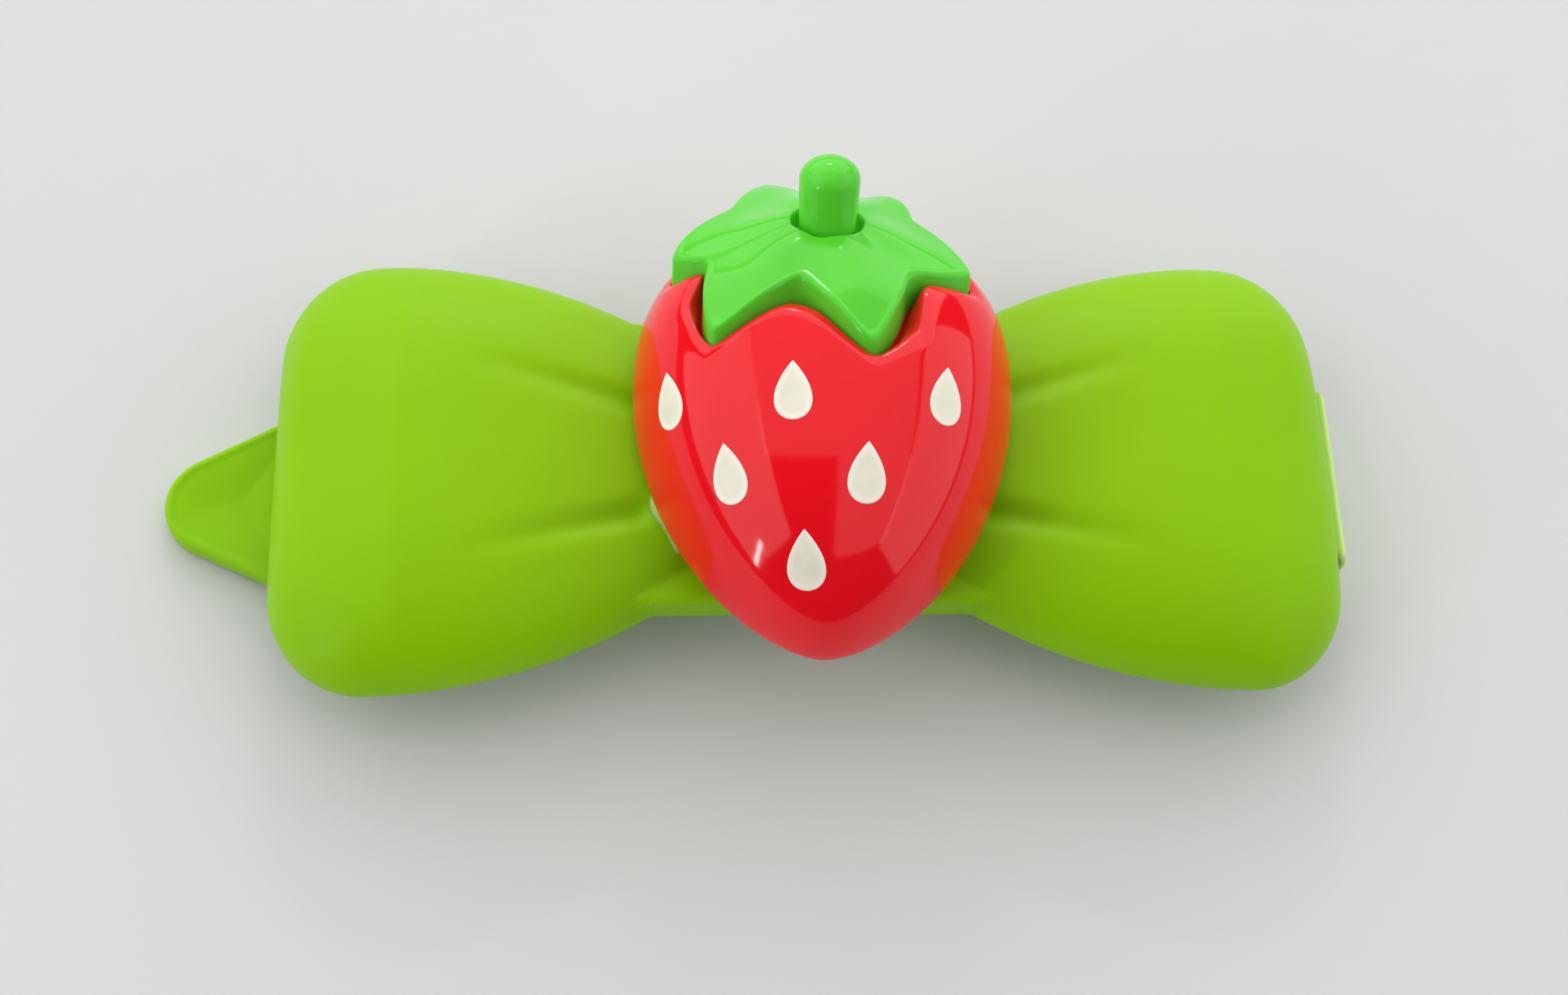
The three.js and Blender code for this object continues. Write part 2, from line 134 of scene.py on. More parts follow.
table_finish, _ = moulded_finish(
    "table_top", (0.70, 0.70, 0.69), (0.68, 0.68, 0.67), 0.05, (0.6, 0.7), 0.0015, 0.00001)
around = np.linspace(0, 2 * np.pi, table_steps, endpoint=False)
table_rings = table_radii[:, None] / MM
table_points = np.stack([
    table_rings * np.cos(around), table_rings * np.sin(around),
    np.full((len(table_radii), table_steps), table_height / MM)], -1).reshape(-1, 3)
ring_at = np.arange(len(table_points)).reshape(-1, table_steps)
ring_next = np.roll(ring_at, -1, 1)
table_faces = np.stack([ring_at[:-1], ring_at[1:], ring_next[1:], ring_next[:-1]], -1).reshape(-1, 4)
table = add_mesh("table_top", table_points, [table_faces, ring_at[:1]], table_finish)


def soft_panel(name, centre, width, height, glow, target=(0, 0, 0)):
    """Rectangular soft light, metres wide and high, at its centre and facing the target. Its glow is
    how bright it looks, whatever its size."""
    light = bpy.data.lights.new(name, "AREA")
    light.shape = "RECTANGLE"
    light.size = width
    light.size_y = height
    light.energy = glow * math.pi * width * height
    lamp = bpy.data.objects.new(name, light)
    lamp.location = centre
    lamp.rotation_euler = (Vector(centre) - Vector(target)).to_track_quat("Z", "Y").to_euler()
    lamp.visible_camera = False
    bpy.context.scene.collection.objects.link(lamp)


soft_panel("top_panel", (0.115, 0.19, 0.6), 0.97, 0.53, 0.8, (0.115, 0.19, 0))
soft_panel("near_right_panel", (0.35, -0.34, 0.6), 0.6, 0.53, 0.8, (0.35, -0.34, 0))
soft_panel("far_panel", (0, 0.52, 0.3), 1.2, 0.52, 1.6)
soft_panel("left_panel", (-0.5, -0.05, 0.34), 0.85, 0.6, 1.4)
soft_panel("right_panel", (0.56, -0.05, 0.24), 0.85, 0.46, 1.25)
soft_panel("far_lamp", (0.01, 0.44, 0.25), 0.08, 0.02, 30)
soft_panel("near_lamp", (-0.38, -0.29, 0.14), 0.02, 0.16, 26)

sky_colour, sky_strength = (0.9, 0.95, 1, 1), 0.1
sky = bpy.data.worlds.new("studio")
sky.use_nodes = True
sky.node_tree.nodes["Background"].inputs["Color"].default_value = sky_colour
sky.node_tree.nodes["Background"].inputs["Strength"].default_value = sky_strength
bpy.context.scene.world = sky
bpy.context.scene.view_settings.view_transform = "Standard"

camera_azimuth = math.radians(-7.85)
camera_elevation = math.radians(64)
camera_roll = math.radians(6.88)
camera_distance = 0.11615
camera_target = Vector((-0.00105, -0.00084, 0.0023))
camera_lens, camera_sensor = 56.05, 36
camera_nearest, camera_farthest = 0.005, 20
back = Vector((
    math.sin(camera_azimuth) * math.cos(camera_elevation),
    -math.cos(camera_azimuth) * math.cos(camera_elevation),
    math.sin(camera_elevation)))
level = Vector((math.cos(camera_azimuth), math.sin(camera_azimuth), 0))
upright = back.cross(level)
right = math.cos(camera_roll) * level + math.sin(camera_roll) * upright
up = math.cos(camera_roll) * upright - math.sin(camera_roll) * level
place = camera_target + back * camera_distance
camera_data = bpy.data.cameras.new("camera")
camera_data.lens = camera_lens
camera_data.sensor_width = camera_sensor
camera_data.clip_start = camera_nearest
camera_data.clip_end = camera_farthest
camera = bpy.data.objects.new("camera", camera_data)
camera.matrix_world = Matrix((
    (right.x, up.x, back.x, place.x), (right.y, up.y, back.y, place.y),
    (right.z, up.z, back.z, place.z), (0, 0, 0, 1)))
bpy.context.scene.collection.objects.link(camera)
bpy.context.scene.camera = camera

# ---------------------------------------------------------------------------------------------
# Bow shell.
# One satin moulding in lime plastic, a little translucent: two crowned lobes with rounded outer
# corners and four pressed pleats, joined by a flat bar at the waist, hollow below.
# ---------------------------------------------------------------------------------------------
bow_half_length, bow_half_width = 25.0, 11.0
lobe_arc, lobe_peak, corner_radius = 25.0, 20.5, 4.6
waist_half_width = 4.6
rim_at_ends, rim_arch = 2.3, 0.75
bow_wall, side_height = 1.15, 0.4
crown_at_waist, crown_at_lobe = 3.4, 4.8
crown_rise = (6.0, 19.0)
end_rounding = 19.0
end_fall, end_fall_power, end_roll_power, side_roll_power = 0.3, 1.15, 6.0, 2.75
bar_half_length, bar_half_width, bar_height = 9.0, 7.3, 1.9
bar_edge, bar_fall, bar_fall_start, bar_blend = 0.35, 1.5, 8.1, 0.1
pleat_start, pleat_length, pleat_half_width, pleat_depth = 8.0, 8.4, 0.6, 0.5
pleat_inner_y, pleat_shift_y, pleat_slope, pleat_lead_in, pleat_fade = 2.8, 0.6, 0.26, 1.4, 1.2
rim_edge, hollow_blend = 0.22, 0.2
bow_columns, bow_rows = 301, 131


def smooth_step(value):
    """0 below 0, 1 above 1, and 3 v^2 - 2 v^3 between."""
    v = np.clip(value, 0, 1)
    return v * v * (3 - 2 * v)


def rim_height(x):
    """Rim of the bow: a shallow parabola, highest in the middle."""
    return rim_at_ends + rim_arch * (1 - (x / bow_half_length) ** 2)


def lobe_half_width(x, inset):
    """Half width of the lobes: an arc about the lobe's peak, less the quarter circle of the corner."""
    reach = np.abs(x)
    arc = bow_half_width - lobe_arc + np.sqrt(lobe_arc ** 2 - (lobe_peak - reach) ** 2)
    radius = corner_radius - inset
    into = np.clip(reach - (bow_half_length - corner_radius), 0, radius)
    corner = radius - np.sqrt(radius ** 2 - into ** 2)
    return np.maximum(arc, waist_half_width) - corner - inset


def crown(x, across):
    """Height of a lobe over the rim: the crown at x, times a fall of 0.3 e^1.15 with the root of
    1 - e^6 towards the end wall, and times the root of 1 - v^2.75 towards the sides."""
    reach = np.abs(x)
    rise = smooth_step((reach - crown_rise[0]) / (crown_rise[1] - crown_rise[0]))
    height = crown_at_waist + (crown_at_lobe - crown_at_waist) * rise
    into = np.clip((reach - end_rounding) / (bow_half_length - end_rounding), 0, 1)
    end_shape = (1 - end_fall * into ** end_fall_power) * np.sqrt(1 - into ** end_roll_power)
    side_shape = np.sqrt(1 - np.abs(across) ** side_roll_power)
    return side_height + (height - side_height) * end_shape * side_shape


def pleats(x, y):
    """Depth of the pleats: a bell-shaped groove, deepest beside the fruit and fading outwards."""
    outwards = np.abs(x) - pleat_start
    across = (np.abs(y + pleat_shift_y) - pleat_inner_y - outwards * pleat_slope) / pleat_half_width
    fade = np.clip(1 - outwards / pleat_length, 0, 1) ** pleat_fade
    lead_in = smooth_step((outwards + pleat_lead_in) / pleat_lead_in)
    return pleat_depth * fade * lead_in * np.exp(-across ** 2)


def bow_plan(inset):
    """Plan of the bow on a grid: both directions are sine-spaced, so rows crowd at the rounded edges."""
    x = (bow_half_length - inset) * np.sin(np.linspace(-1, 1, bow_columns) * np.pi / 2)
    width = lobe_half_width(x, inset)
    in_bar = np.abs(x) < bar_half_length
    width = np.where(in_bar, np.maximum(width, bar_half_width - inset), width)
    share = np.sin(np.linspace(-1, 1, bow_rows) * np.pi / 2)
    return np.broadcast_to(x[:, None], (bow_columns, bow_rows)), width[:, None] * share


def bow_top(x, y):
    """Upper side of the bow: the higher of the lobes with their pleats and the waist bar, which falls
    at its ends, blended as half of a + b + the root of (a - b)^2 + blend^2."""
    across = np.clip(y / lobe_half_width(x, 0), -1, 1)
    lobe = crown(x, across) - pleats(x, y)
    into = np.clip(np.abs(y) - (bar_half_width - bar_edge), 0, bar_edge)
    bar = bar_height - bar_edge + np.sqrt(bar_edge ** 2 - into ** 2)
    bar = bar - bar_fall * smooth_step((np.abs(x) - bar_fall_start) / (bar_half_length - bar_fall_start))
    bar = np.where(np.abs(y) > bar_half_width, 0, bar)
    return rim_height(x) + (lobe + bar + np.sqrt((lobe - bar) ** 2 + bar_blend ** 2)) / 2


def bow_hollow(x, y):
    """Roof of the hollow: the same form one wall thickness lower, never below the rim's rounded edge."""
    outer_x = x * bow_half_length / (bow_half_length - bow_wall)
    across = np.clip(y / lobe_half_width(x, bow_wall), -1, 1)
    lobe = crown(outer_x, across) - bow_wall
    bar = np.where(np.abs(x) < bar_half_length - bow_wall, bar_height - bow_wall, 0)
    height = np.maximum(lobe, bar) - 2 * rim_edge
    return rim_height(x) + 2 * rim_edge + (height + np.sqrt(height ** 2 + hollow_blend ** 2)) / 2


def grid_faces(rows, columns):
    """Quads of a grid of rows along +X and columns along +Y, facing up."""
    at = np.arange(rows * columns).reshape(rows, columns)
    return np.stack([at[:-1, :-1], at[1:, :-1], at[1:, 1:], at[:-1, 1:]], -1).reshape(-1, 4)


def grid_border(rows, columns):
    """Point numbers round the edge of that grid, anticlockwise from above."""
    at = np.arange(rows * columns).reshape(rows, columns)
    return np.concatenate([at[:-1, 0], at[-1, :-1], at[:0:-1, -1], at[0, :0:-1]])


def closed_slab(top, rings, bottom):
    """Closed surface: a grid on top, rings of points down round its edge, and a grid below, all
    anticlockwise from above and one ring point for each point on a grid's edge."""
    rows, columns = top.shape[:2]
    border = grid_border(rows, columns)
    points = np.concatenate([top.reshape(-1, 3), *rings, bottom.reshape(-1, 3)])
    last = len(points) - rows * columns
    starts = rows * columns + np.arange(len(rings))[:, None] * len(border)
    loops = np.vstack([border, starts + np.arange(len(border)), last + border])
    after = np.roll(loops, -1, 1)
    wall = np.stack([loops[:-1], loops[1:], after[1:], after[:-1]], -1).reshape(-1, 4)
    faces = grid_faces(rows, columns)
    return points, [faces, wall, faces[:, ::-1] + last]


def surface(x, y, z):
    """Points with these coordinates."""
    return np.stack([x, y, z], -1)


bow_border = grid_border(bow_columns, bow_rows)


def rim_ring(inset, lift):
    """Ring round the bow at an inset from its outline and a lift over the rim."""
    x, y = (side.reshape(-1)[bow_border] for side in bow_plan(inset))
    return surface(x, y, rim_height(x) + lift)


quarter = np.radians([0, 30, 60, 90])
outer_x, outer_y = bow_plan(0)
inner_x, inner_y = bow_plan(bow_wall)
rim_rings = [rim_ring(rim_edge * (1 - math.cos(a)), rim_edge * (1 - math.sin(a))) for a in quarter]
rim_rings += [rim_ring(bow_wall - rim_edge * (1 - math.cos(a)), rim_edge * (1 - math.sin(a)))
              for a in quarter[::-1]]
bow_points, bow_faces = closed_slab(
    surface(outer_x, outer_y, bow_top(outer_x, outer_y)), rim_rings,
    surface(inner_x, inner_y, bow_hollow(inner_x, inner_y)))


def set_plastic(shader, specular, weight, radius, scale):
    """How strongly the skin mirrors, and how much and how far light spreads below it."""
    shader.inputs["Specular IOR Level"].default_value = specular
    shader.inputs["Subsurface Weight"].default_value = weight
    shader.inputs["Subsurface Radius"].default_value = radius
    shader.inputs["Subsurface Scale"].default_value = scale


lime_light, lime_dark = (0.28, 0.60, 0.0), (0.26, 0.565, 0.0)
lime_finish, lime_shader = moulded_finish(
    "lime_plastic", lime_light, lime_dark, 0.012, (0.36, 0.44), 0.0004, 0.000004)
set_plastic(lime_shader, 0.12, 0.25, (1.0, 1.0, 0.2), 0.0012)
bow = add_mesh("bow", bow_points, bow_faces, lime_finish)
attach(bow, "bow")
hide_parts("bow_shell")

# ---------------------------------------------------------------------------------------------
# Catch hook.
# A short lime tongue that hangs from the roof of the left lobe, moulded in one with the bow; its
# rounded nose goes down through the arm's window and holds the clip shut.
# ---------------------------------------------------------------------------------------------
hook_x, hook_thickness, hook_width = -22.0, 1.2, 3.8
hook_tip, hook_nose, nose_stretch = -0.3, 0.35, 1.5


def across_clip(outline, half_width):
    """Closed prism: an anticlockwise side view in X and Z, (n, 2), carried from one side to the other."""
    count = len(outline)
    near = surface(outline[:, 0], np.full(count, -half_width), outline[:, 1])
    far = near * (1, -1, 1)
    at = np.arange(count)
    after = np.roll(at, -1)
    walls = np.stack([at, at + count, after + count, after], -1)
    return np.concatenate([near, far]), [walls, at[None], (at + count)[None, ::-1]]


def soften(piece, width, segments=3, angle=35):
    """Rounds the edges that turn by more than the angle."""
    bevel = piece.modifiers.new("soft_edges", "BEVEL")
    bevel.width = width * MM
    bevel.segments = segments
    bevel.limit_method = "ANGLE"
    bevel.angle_limit = math.radians(angle)


hook_roof = bow_hollow(np.array([hook_x]), np.array([0.0]))[0] + bow_wall / 2
nose_turn = np.linspace(-np.pi / 2, np.pi / 2, 9)
nose_height = nose_stretch * hook_nose
hook_left, hook_right = hook_x - hook_thickness / 2, hook_x + hook_thickness / 2
nose_x = hook_left - hook_nose * np.cos(nose_turn)
nose_z = hook_tip + nose_height + nose_height * np.sin(nose_turn)
hook_outline = np.stack([
    np.r_[hook_right, hook_right, hook_left, nose_x[::-1]],
    np.r_[hook_tip, hook_roof, hook_roof, nose_z[::-1]]], -1)
hook = add_mesh("catch_hook", *across_clip(hook_outline, hook_width / 2), lime_finish)
soften(hook, 0.14)
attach(hook, "bow")

# ---------------------------------------------------------------------------------------------
# Clasp arm.
# The lower half of the clip, a springy strip of the same lime plastic arched like the bow. It ends
# in a dished thumb tab with a raised rim, and has a window for the hook.
# ---------------------------------------------------------------------------------------------
arm_thickness, arm_half_width, arm_end = 1.2, 4.4, 24.2
arm_facet = 5.0
tab_tip, tab_radius, tab_angle = -30.6, 2.5, math.radians(26.5)
tab_rim, tab_dish = 0.7, 0.35
dish_lip_share, dish_lip_width, dish_width = 0.2, 0.35, 3.4
window_x, window_length, window_width = -22.0, 2.6, 5.0
arm_edge = 0.25


def arm_underside(x):
    """Underside of the arm: flat in the middle, then falling like the bow's rim."""
    reach = np.maximum(np.abs(x), arm_facet / 2)
    return rim_arch * ((arm_facet / 2) ** 2 - reach ** 2) / bow_half_length ** 2


tab_centre = tab_tip + tab_radius
arm_window = np.array([window_x - window_length / 2, window_x + window_length / 2])
window_half = window_width / 2


def tab_shoulder(inset):
    """Where the tab's straight side meets the arm's side, on an outline inset by some millimetres."""
    radius = tab_radius - inset
    touch_x = tab_centre - radius * math.sin(tab_angle)
    return touch_x + (arm_half_width - inset - radius * math.cos(tab_angle)) / math.tan(tab_angle)


# Rows run along the arm at these shares of its half width; the window's sides lie on two of them.
side_steps, window_row_steps = 12, 24
window_share = window_half / arm_half_width
row_shares = np.concatenate([
    np.linspace(-1, -window_share, side_steps + 1)[:-1],
    np.linspace(-window_share, window_share, window_row_steps + 1),
    np.linspace(window_share, 1, side_steps + 1)[1:]])
# Columns cross the arm: some on the tab, then from its shoulder to the window, over it and beyond.
tab_columns, shoulder_steps, window_steps, strip_steps = 64, 5, 8, 99
arm_stations = np.concatenate([
    np.linspace(tab_shoulder(0), arm_window[0], shoulder_steps + 1)[1:],
    np.linspace(*arm_window, window_steps + 1)[1:],
    np.linspace(arm_window[1], arm_end, strip_steps + 1)[1:]])
window_column = tab_columns + shoulder_steps - 1


def arm_plan(inset):
    """Plan of the arm: each row starts on the tip's arc and runs straight to the shoulder, then
    along the arm, so the columns change from that arc to straight lines."""
    radius = tab_radius - inset
    sweep = (math.pi / 2 - tab_angle) * row_shares
    start_x, start_y = tab_centre - radius * np.cos(sweep), radius * np.sin(sweep)
    end_x, end_y = tab_shoulder(inset), (arm_half_width - inset) * row_shares
    share = np.linspace(0, 1, tab_columns)[:, None]
    tab_x = start_x + (end_x - start_x) * share
    tab_y = start_y + (end_y - start_y) * share
    strip_x = np.minimum(arm_stations, arm_end - inset)[:, None] + 0 * row_shares
    rows = row_shares * (arm_half_width - inset)
    window_rows = np.interp(
        row_shares, [-1, row_shares[side_steps], row_shares[side_steps + window_row_steps], 1],
        [inset - arm_half_width, -window_half, window_half, arm_half_width - inset])
    strip_y = np.broadcast_to(window_rows, strip_x.shape)
    ease = smooth_step(np.linspace(0, 1, tab_columns)[:, None])
    tab_y = tab_y + (window_rows - rows) * ease
    return np.concatenate([tab_x, strip_x]), np.concatenate([tab_y, strip_y])


def tab_margin(x, y):
    """Distance in from the tab's outline: to its straight sides, its tip's arc and the shoulder."""
    side = tab_radius + (x - tab_centre) * math.sin(tab_angle) - np.abs(y) * math.cos(tab_angle)
    from_centre = np.hypot(x - tab_centre, y)
    in_tip = np.arctan2(np.abs(y), tab_centre - x) < math.pi / 2 - tab_angle
    margin = np.where(in_tip, tab_radius - from_centre, side)
    return np.minimum(np.minimum(margin, arm_half_width - np.abs(y)), tab_shoulder(tab_rim) + tab_rim - x)


def arm_top(x, y):
    """Upper side of the arm, with the tab's dish: a fine lip, then a broad soft hollow."""
    inside = tab_margin(x, y) - arm_edge
    lip = dish_lip_share * smooth_step(inside / dish_lip_width)
    hollow = (1 - dish_lip_share) * smooth_step(inside / dish_width)
    return arm_underside(x) + arm_thickness - tab_dish * (lip + hollow)


arm_columns = tab_columns + len(arm_stations)
arm_border = grid_border(arm_columns, len(row_shares))


def arm_ring(inset, low, drop):
    """Ring round the arm at an inset, either over its underside or under its top."""
    x, y = (side.reshape(-1)[arm_border] for side in arm_plan(inset))
    return surface(x, y, arm_underside(x) + (drop if low else arm_thickness - drop))


arm_x, arm_y = arm_plan(arm_edge)
arm_rings = [arm_ring(arm_edge * (1 - math.sin(a)), False, arm_edge * (1 - math.cos(a)))
             for a in quarter[1:]]
arm_rings += [arm_ring(arm_edge * (1 - math.cos(a)), True, arm_edge * (1 - math.sin(a)))
              for a in quarter[:-1]]
arm_points, arm_faces = closed_slab(
    surface(arm_x, arm_y, arm_top(arm_x, arm_y)), arm_rings, surface(arm_x, arm_y, arm_underside(arm_x)))
numbers = np.arange(arm_columns * len(row_shares)).reshape(arm_columns, -1)
columns_there = slice(window_column, window_column + window_steps)
rows_there = slice(side_steps, side_steps + window_row_steps)
in_window = np.zeros((arm_columns - 1, len(row_shares) - 1), bool)
in_window[columns_there, rows_there] = True
keep = ~in_window.reshape(-1)
window_block = numbers[window_column:columns_there.stop + 1, side_steps:rows_there.stop + 1]
window_loop = window_block.reshape(-1)[grid_border(window_steps + 1, window_row_steps + 1)]
window_next = np.roll(window_loop, -1)
below = len(arm_points) - numbers.size
window_walls = np.stack([window_loop, window_next, window_next + below, window_loop + below], -1)
arm_faces = [arm_faces[0][keep], arm_faces[1], arm_faces[2][keep], window_walls]
arm = add_mesh("arm", arm_points, arm_faces, lime_finish)
soften(arm, 0.12, 2, 60)
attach(arm, "arm")
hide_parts("clasp_arm")

# ---------------------------------------------------------------------------------------------
# Gripping teeth.
# Two rows of small blunt teeth moulded on the arm's upper face, which comb into the hair and stop
# the clip from sliding.
# ---------------------------------------------------------------------------------------------
tooth_pitch, tooth_height, tooth_row = 2.6, 0.6, 3.2
first_tooth, tooth_count = -18.2, 15
tooth_foot, tooth_crest, tooth_width = 0.6, 0.15, 1.0
tooth_root = 0.1

tooth_outline = np.array([
    [-tooth_foot, -tooth_root], [tooth_foot, -tooth_root],
    [tooth_crest, tooth_height], [-tooth_crest, tooth_height]])
one_tooth, tooth_faces = across_clip(tooth_outline, tooth_width / 2)
tooth_x = np.repeat(first_tooth + tooth_pitch * np.arange(tooth_count), 2)
tooth_y = np.tile([-tooth_row, tooth_row], tooth_count)
tooth_z = arm_underside(tooth_x) + arm_thickness
all_teeth = (surface(tooth_x, tooth_y, tooth_z)[:, None] + one_tooth).reshape(-1, 3)
steps = np.arange(2 * tooth_count)[:, None, None] * len(one_tooth)
teeth = add_mesh("grip_teeth", all_teeth,
                 [(steps + faces).reshape(-1, faces.shape[1]) for faces in tooth_faces], lime_finish)
soften(teeth, 0.1, 2)
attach(teeth, "arm")

# ---------------------------------------------------------------------------------------------
# Living hinge.
# A thin web of the same plastic that joins the arm's end to the foot of the bow's end wall, thinner
# in its middle and whitened there by being folded. The real web bends between the two halves; here
# it is one fixed mesh.
# ---------------------------------------------------------------------------------------------
web_thickness, web_thin, web_half_width, web_reach = 0.4, 0.3, 4.4, 0.75
web_steps, straight_steps, web_rows = 72, 12, 41
web_low = arm_underside(arm_end) + arm_thickness / 2
web_high = rim_height(bow_half_length) + 0.8
web_middle, web_root, web_sink, web_edge = 1.9, 0.2, 0.1, 0.2
whitens_over, whitens_until = 0.2, 0.06
web_outer = bow_half_length + web_reach - web_thickness / 2

# Middle line of the web in X and Z: straight out of the arm, round one quarter ellipse to its
# outermost place, and round another back into the wall.
turn = np.linspace(-np.pi / 2, np.pi / 2, web_steps - straight_steps)
bend_x = bow_half_length - web_root
wall_x = np.where(turn < 0, bend_x, bow_half_length - web_sink)
half_height = np.where(turn < 0, web_middle - web_low, web_high - web_middle)
line_x = np.r_[np.linspace(arm_end - web_root, bend_x, straight_steps, endpoint=False),
               wall_x + (web_outer - wall_x) * np.cos(turn)]
line_z = np.r_[np.full(straight_steps, web_low), web_middle + half_height * np.sin(turn)]
slope_x, slope_z = np.gradient(line_x), np.gradient(line_z)
length = np.hypot(slope_x, slope_z)
out_x, out_z = slope_z / length, -slope_x / length
travel = np.clip((line_z - web_low) / (web_high - web_low), 0, 1)
half_thickness = web_thickness / 2 - (web_thickness - web_thin) / 2 * np.sin(np.pi * travel)
side_share = np.sin(np.linspace(-1, 1, web_rows) * np.pi / 2)
into_edge = np.abs(side_share) * web_half_width - web_half_width + web_edge
edge_share = np.sqrt(1 - np.clip(into_edge / 0.21, 0, 1) ** 2)
web_y = np.broadcast_to(side_share * web_half_width, (web_steps, web_rows))


def web_face(sign):
    """One face of the web: its middle line, moved out by half the thickness, less towards the sides."""
    offset = sign * half_thickness[:, None] * edge_share
    return surface(line_x[:, None] + out_x[:, None] * offset, web_y,
                   line_z[:, None] + out_z[:, None] * offset)


def mark_points(piece, name, values):
    """Gives each point of the piece a number that its finish reads."""
    marks = piece.data.attributes.new(name, "FLOAT", "POINT")
    marks.data.foreach_set("value", values.astype(np.float32))


web_points, web_faces = closed_slab(web_face(1), [], web_face(-1))
folded = smooth_step(travel / whitens_over) * smooth_step((1 - travel) / whitens_until)
whitening = np.tile(np.repeat(folded, web_rows), 2)

web_finish, web_shader = moulded_finish(
    "folded_lime_plastic", (0.66, 0.90, 0.34), (0.56, 0.84, 0.22), 0.003, (0.4, 0.5), 0.0004, 0.000004)
stress = web_finish.node_tree.nodes.new("ShaderNodeAttribute")
stress.attribute_name = "stress_whitening"
web_colour = web_shader.inputs["Base Color"].links[0].from_socket
whitened = link_mix(web_finish.node_tree, stress.outputs["Fac"], lime_light, web_colour)
web_finish.node_tree.links.new(whitened, web_shader.inputs["Base Color"])
web = add_mesh("hinge_web", web_points, [faces[:, ::-1] for faces in web_faces], web_finish)
mark_points(web, "stress_whitening", whitening)
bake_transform(web)
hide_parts("living_hinge")

# ---------------------------------------------------------------------------------------------
# Strawberry body.
# A solid domed ornament moulded in glossy red plastic with a flat back, glued on the waist a
# little out of square, with a star-shaped pocket for the calyx.
# ---------------------------------------------------------------------------------------------
fruit_turn = math.radians(-1.8)
glue_thickness, crown_sink = 0.3, 0.15
fruit_place = np.array([0.5, 0.0, rim_height(0) + crown_at_waist + glue_thickness + crown_sink])
fruit_tip, fruit_wide, fruit_top = -11.2, 2.1, 10.4
fruit_half_width, fruit_height = 8.8, 7.5
outline_shape, ridge_shape, cross_power = (1.9, 0.606, 2.6, 0.5), (2.1, 0.5, 2.1, 0.5), 2.3
calyx_centre = np.array([-0.15, 7.65, 6.15])
calyx_tilt = math.radians(57)
calyx_thickness, front_droop, back_droop = 2.0, 0.043, 0.021
droop_lead, droop_run = 0.1, 0.8
# Tips and notches of the leaf star: degrees about the calyx's axis, and radius.
star_corners = np.array([
    [-134, 7.4], [-110, 3.75], [-74, 6.85], [-34, 4.45], [-8, 6.75], [30, 4.75],
    [55, 5.7], [82, 3], [113, 6.7], [144, 5.4], [177, 7], [190, 5.35]])
star_swell, star_rounds, steps_per_side = 0.07, 16, 30
seat_depth, wall_power = 0.06, 1.5
ray_depth, search_reach, skin_reach = 4.5, 12.0, 30.0
floor_rows, wall_rows, skin_rows, coarse_rows, ring_rounds = 14, 12, 190, 500, 5
notch, notch_spread = -109, 13
roll_depth, roll_depth_at_notch, roll_power = 0.25, 0.6, 1.5
roll_reach, roll_reach_at_notch, roll_full_wall = 1.1, 0.5, 1.5


def on_fruit(points):
    """From the fruit's own frame to the clip's: turned about the vertical, then set on the glue."""
    cos, sin = math.cos(fruit_turn), math.sin(fruit_turn)
    x, y, z = np.moveaxis(points, -1, 0)
    return surface(cos * x - sin * y, sin * x + cos * y, z) + fruit_place


def fruit_taper(y, sharpness_tip, roundness_tip, sharpness_top, roundness_top):
    """Share of the full size along the fruit: (1 - s^sharpness)^roundness from its widest place."""
    tip_share = np.clip((fruit_wide - y) / (fruit_wide - fruit_tip), 0, 1)
    top_share = np.clip((y - fruit_wide) / (fruit_top - fruit_wide), 0, 1)
    towards_tip = (1 - tip_share ** sharpness_tip) ** roundness_tip
    return np.where(y < fruit_wide, towards_tip, (1 - top_share ** sharpness_top) ** roundness_top)


def fruit_surface(x, y):
    """Height of the fruit over its back: its ridge times the root of 1 - (x / half width)^2.3, and
    below the back outside its outline."""
    half_width = np.maximum(fruit_half_width * fruit_taper(y, *outline_shape), 1e-6)
    ridge = fruit_height * fruit_taper(y, *ridge_shape)
    across = np.clip(np.abs(x) / half_width, 0, 1)
    return ridge * np.sqrt(1 - across ** cross_power) - np.where(across >= 1, 1, 0)


def inside_fruit(points):
    """True for points between the flat back and the domed skin."""
    x, y, z = np.moveaxis(points, -1, 0)
    return (z > 0) & (z < fruit_surface(x, y)) & (y > fruit_tip) & (y < fruit_top)


def halving(inside_at, low, high, rounds=30):
    """Last place between low and high for which inside_at holds, by halving the stretch."""
    for _ in range(rounds):
        middle = (low + high) / 2
        inside = inside_at(middle)
        low, high = np.where(inside, middle, low), np.where(inside, high, middle)
    return low


def rounded(outline, rounds):
    """Closed outline in which each round moves every point to the mean of itself and its neighbours."""
    for _ in range(rounds):
        outline = (np.roll(outline, 1, 0) + 2 * outline + np.roll(outline, -1, 0)) / 4
    return outline


# Outline of the leaf star: straight runs between tips and notches, swollen a little, corners rounded.
side_share = np.arange(steps_per_side) / steps_per_side
corner_xy = star_corners[:, 1:] * np.stack([
    np.cos(np.radians(star_corners[:, 0])), np.sin(np.radians(star_corners[:, 0]))], -1)
next_xy = np.roll(corner_xy, -1, 0)
star_xy = corner_xy[:, None] + (next_xy - corner_xy)[:, None] * side_share[:, None]
star_xy = (star_xy * (1 + star_swell * np.sin(np.pi * side_share))[:, None]).reshape(-1, 2)
star_xy = rounded(star_xy, star_rounds)
star_radius = np.hypot(*star_xy.T)
star_angle = np.arctan2(star_xy[:, 1], star_xy[:, 0])
lobe_share = np.abs(1 - (np.arange(len(star_radius)) % (2 * steps_per_side)) / steps_per_side)
star_columns = len(star_radius)

